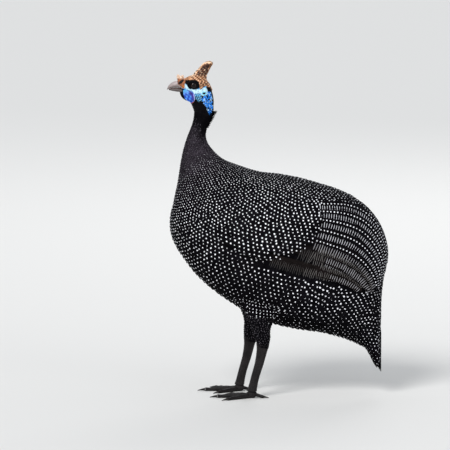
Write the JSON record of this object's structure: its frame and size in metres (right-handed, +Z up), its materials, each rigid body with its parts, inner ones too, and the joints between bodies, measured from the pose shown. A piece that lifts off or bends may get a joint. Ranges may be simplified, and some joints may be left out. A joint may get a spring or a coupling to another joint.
{
  "type": "guinea fowl",
  "caption": "Life-size still model of a helmeted guinea fowl standing with its head up and tail hanging, with bony casque, wattles, folded wings and spread toes.",
  "frame": {"origin": "on the floor under the middle of the model's box", "axes": "+Z up, -X the way the bird faces, -Y towards its left side"},
  "size_m": [0.3198, 0.1586, 0.4906],
  "materials": {
    "bill": "satin",
    "horn": "matte",
    "cere": "matte",
    "bare_skin": "satin",
    "claw": "satin",
    "eye": "gloss",
    "leg_scale": "matte",
    "body_plumage": "matte",
    "wattle": "satin",
    "loose_plumage": "matte"
  },
  "bodies": {
    "root": {"bill_lower": "bill", "bill_upper": "bill", "casque": "horn", "cere": "cere", "head": "bare_skin", "left_claw_hind": "claw", "left_claw_inner": "claw", "left_claw_middle": "claw", "left_claw_outer": "claw", "left_eye": "eye", "left_foot": "leg_scale", "left_shank": "body_plumage", "left_tarsus": "leg_scale", "left_wattle": "wattle", "left_wing": "loose_plumage", "neck_lower": "body_plumage", "neck_upper": "body_plumage", "right_claw_hind": "claw", "right_claw_inner": "claw", "right_claw_middle": "claw", "right_claw_outer": "claw", "right_eye": "eye", "right_foot": "leg_scale", "right_shank": "body_plumage", "right_tarsus": "leg_scale", "right_wattle": "wattle", "right_wing": "loose_plumage", "rump": "loose_plumage", "tail": "loose_plumage", "torso": "body_plumage"}
  },
  "joints": []
}
